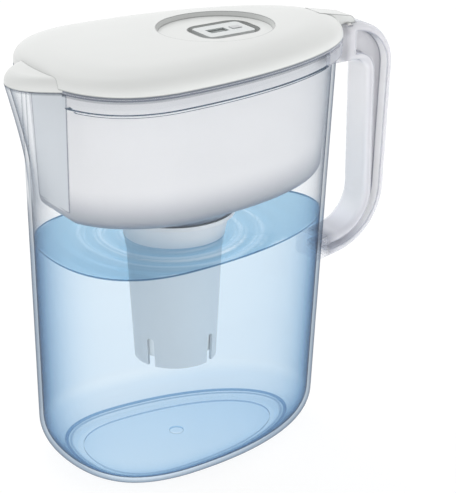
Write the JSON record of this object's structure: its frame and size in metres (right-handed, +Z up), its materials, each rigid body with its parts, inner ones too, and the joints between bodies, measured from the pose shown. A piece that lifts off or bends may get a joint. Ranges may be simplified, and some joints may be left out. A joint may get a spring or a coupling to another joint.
{
  "type": "water filter pitcher",
  "caption": "Clear egg-shaped water pitcher with spout, loop handle, milky filling reservoir, filter sleeve with cartridge, and hinged domed lid with a filter life indicator.",
  "frame": {"origin": "under the middle of the whole length, on the surface that the pitcher stands on", "axes": "+Z up, -X towards the spout, +X towards the handle, the XZ plane is the plane of symmetry"},
  "size_m": [0.2694, 0.1378, 0.2695],
  "materials": {
    "clear_body": "clear moulded plastic, polished inside and out",
    "milky_handle": "milky translucent plastic with a satin sheen",
    "milky_reservoir": "milky translucent plastic, smooth",
    "white_sleeve": "white moulded plastic, satin",
    "white_cartridge": "white moulded plastic, satin",
    "screen_mesh": "fine woven mesh",
    "carbon_media": "dark granules",
    "white_lid": "opaque white plastic, soft gloss",
    "steel_pin": "drawn steel",
    "indicator_shell": "white moulded plastic, matt",
    "clear_window": "clear polished plastic",
    "green_board": "coated laminate",
    "lcd_glass": "grey display glass",
    "bright_steel": "plated steel",
    "grey_button": "soft matt rubber"
  },
  "bodies": {
    "pitcher": {"pitcher_body": "clear_body", "handle": "milky_handle"},
    "reservoir_unit": {"reservoir": "milky_reservoir", "filter_sleeve": "white_sleeve"},
    "cartridge": {"cartridge_shell": "white_cartridge", "cartridge_cap": "white_cartridge", "lower_screen": "screen_mesh", "upper_screen": "screen_mesh", "media_bed": "carbon_media"},
    "lid_unit": {"lid": "white_lid", "hinge_pin": "steel_pin", "indicator_case": "indicator_shell", "indicator_face": "indicator_shell", "indicator_window": "clear_window", "circuit_board": "green_board", "lcd_panel": "lcd_glass", "dome_switch": "bright_steel", "coin_cell": "bright_steel", "battery_contact": "bright_steel"},
    "button": {"reset_button": "grey_button"}
  },
  "joints": [
    {"name": "reservoir_lift", "type": "slide", "parent": "pitcher", "child": "reservoir_unit", "axis": [0, 0, 1], "range_m": [0, 0.2]},
    {"name": "lid_hinge", "type": "hinge", "parent": "reservoir_unit", "child": "lid_unit", "pos_m": [0.10025, 0, 0.2575], "axis": [0, 1, 0], "range_deg": [0, 100]},
    {"name": "cartridge_lift", "type": "slide", "parent": "reservoir_unit", "child": "cartridge", "axis": [0, 0, 1], "range_m": [0, 0.07]},
    {"name": "reset_press", "type": "slide", "parent": "lid_unit", "child": "button", "axis": [0, 0, -1], "range_m": [0, 0.0005], "stiffness_N_per_m": 800}
  ]
}
